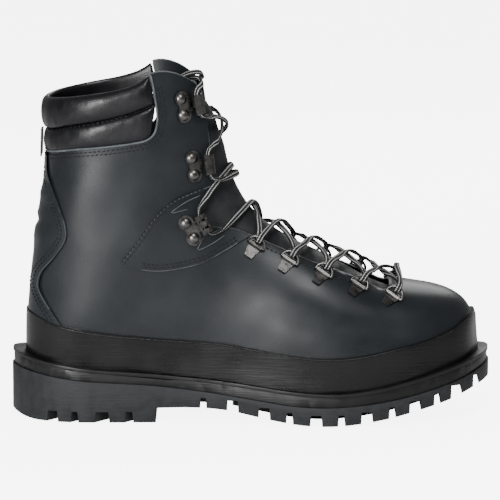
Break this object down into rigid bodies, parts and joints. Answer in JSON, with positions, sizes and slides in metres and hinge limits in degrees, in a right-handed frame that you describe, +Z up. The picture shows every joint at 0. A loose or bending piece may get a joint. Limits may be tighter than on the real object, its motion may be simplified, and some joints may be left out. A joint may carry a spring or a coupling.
{
  "type": "mountaineering boot",
  "caption": "Leather mountaineering boot, right foot, with a rubber rand, welted lug sole, padded collar, tongue, hinged lace rings and speed hooks.",
  "frame": {"origin": "bottom centre of the boot's box, on the ground it stands on", "axes": "+X from heel to toe, +Y to the inner (medial) side of the foot, +Z up"},
  "size_m": [0.315, 0.1127, 0.23],
  "materials": {
    "aglet_plastic": "clear-coated tip",
    "collar_leather": "soft glossy padded leather",
    "cork": "pressed cork",
    "footbed_foam": "foam under fabric",
    "gunmetal": "antique dark nickel",
    "insole_board": "fibre board",
    "lace_cord": "flat braid with pale lengthwise stripes",
    "lining_fabric": "quilted dark lining",
    "midsole_rubber": "matt rubber",
    "outsole_rubber": "matt moulded rubber",
    "rand_rubber": "brushed glossy rubber",
    "shank_steel": "sprung steel strip",
    "stiffener": "thermoformed board",
    "tongue_leather": "soft matt leather",
    "upper_leather": "smooth semi-gloss full grain leather",
    "welt_rubber": "matt rubber strip with a cut edge"
  },
  "bodies": {
    "boot": {"aglet_lateral": "aglet_plastic", "aglet_medial": "aglet_plastic", "ankle_patch_lateral": "upper_leather", "ankle_patch_medial": "upper_leather", "backstay": "upper_leather", "collar_lower_roll": "collar_leather", "collar_upper_roll": "collar_leather", "cork_filler": "cork", "footbed": "footbed_foam", "gusset_lateral": "tongue_leather", "gusset_medial": "tongue_leather", "heel_counter": "stiffener", "heel_strap": "collar_leather", "hook_lower_lateral": "gunmetal", "hook_lower_medial": "gunmetal", "hook_middle_lateral": "gunmetal", "hook_middle_medial": "gunmetal", "hook_rivets_lateral": "gunmetal", "hook_rivets_medial": "gunmetal", "hook_upper_lateral": "gunmetal", "hook_upper_medial": "gunmetal", "insole_board": "insole_board", "lace": "lace_cord", "lining": "lining_fabric", "midsole": "midsole_rubber", "outsole": "outsole_rubber", "rand": "rand_rubber", "ring_clips_lateral": "gunmetal", "ring_clips_medial": "gunmetal", "shank": "shank_steel", "toe_puff": "stiffener", "tongue": "tongue_leather", "upper_leather": "upper_leather", "welt": "welt_rubber"},
    "ring_lateral_1": {"ring_lateral_1": "gunmetal"},
    "ring_lateral_2": {"ring_lateral_2": "gunmetal"},
    "ring_lateral_3": {"ring_lateral_3": "gunmetal"},
    "ring_lateral_4": {"ring_lateral_4": "gunmetal"},
    "ring_lateral_5": {"ring_lateral_5": "gunmetal"},
    "ring_medial_1": {"ring_medial_1": "gunmetal"},
    "ring_medial_2": {"ring_medial_2": "gunmetal"},
    "ring_medial_3": {"ring_medial_3": "gunmetal"},
    "ring_medial_4": {"ring_medial_4": "gunmetal"},
    "ring_medial_5": {"ring_medial_5": "gunmetal"}
  },
  "joints": [
    {"name": "ring_lateral_1_swing", "type": "hinge", "parent": "boot", "child": "ring_lateral_1", "pos_m": [0.00332, -0.03013, 0.11632], "axis": [0.8346, -0.0985, -0.542], "range_deg": [-4, 4]},
    {"name": "ring_lateral_2_swing", "type": "hinge", "parent": "boot", "child": "ring_lateral_2", "pos_m": [0.02532, -0.03164, 0.10663], "axis": [0.8205, -0.2072, -0.5328], "range_deg": [-4, 4]},
    {"name": "ring_lateral_3_swing", "type": "hinge", "parent": "boot", "child": "ring_lateral_3", "pos_m": [0.04747, -0.03268, 0.0985], "axis": [0.8193, -0.2135, -0.5321], "range_deg": [-4, 4]},
    {"name": "ring_lateral_4_swing", "type": "hinge", "parent": "boot", "child": "ring_lateral_4", "pos_m": [0.07065, -0.03052, 0.09002], "axis": [0.8244, -0.1834, -0.5354], "range_deg": [-4, 4]},
    {"name": "ring_lateral_5_swing", "type": "hinge", "parent": "boot", "child": "ring_lateral_5", "pos_m": [0.09345, -0.02792, 0.08256], "axis": [0.7772, -0.3758, -0.5047], "range_deg": [-4, 4]},
    {"name": "ring_medial_1_swing", "type": "hinge", "parent": "boot", "child": "ring_medial_1", "pos_m": [0.00345, 0.02492, 0.11629], "axis": [-0.8382, -0.032, 0.5444], "range_deg": [-4, 4]},
    {"name": "ring_medial_2_swing", "type": "hinge", "parent": "boot", "child": "ring_medial_2", "pos_m": [0.02521, 0.02651, 0.10664], "axis": [-0.8092, -0.2627, 0.5255], "range_deg": [-4, 4]},
    {"name": "ring_medial_3_swing", "type": "hinge", "parent": "boot", "child": "ring_medial_3", "pos_m": [0.04729, 0.02997, 0.09853], "axis": [-0.7971, -0.3111, 0.5176], "range_deg": [-4, 4]},
    {"name": "ring_medial_4_swing", "type": "hinge", "parent": "boot", "child": "ring_medial_4", "pos_m": [0.0705, 0.03096, 0.09006], "axis": [-0.8052, -0.2798, 0.5229], "range_deg": [-4, 4]},
    {"name": "ring_medial_5_swing", "type": "hinge", "parent": "boot", "child": "ring_medial_5", "pos_m": [0.09328, 0.03103, 0.08259], "axis": [-0.7418, -0.4665, 0.4817], "range_deg": [-4, 4]}
  ]
}
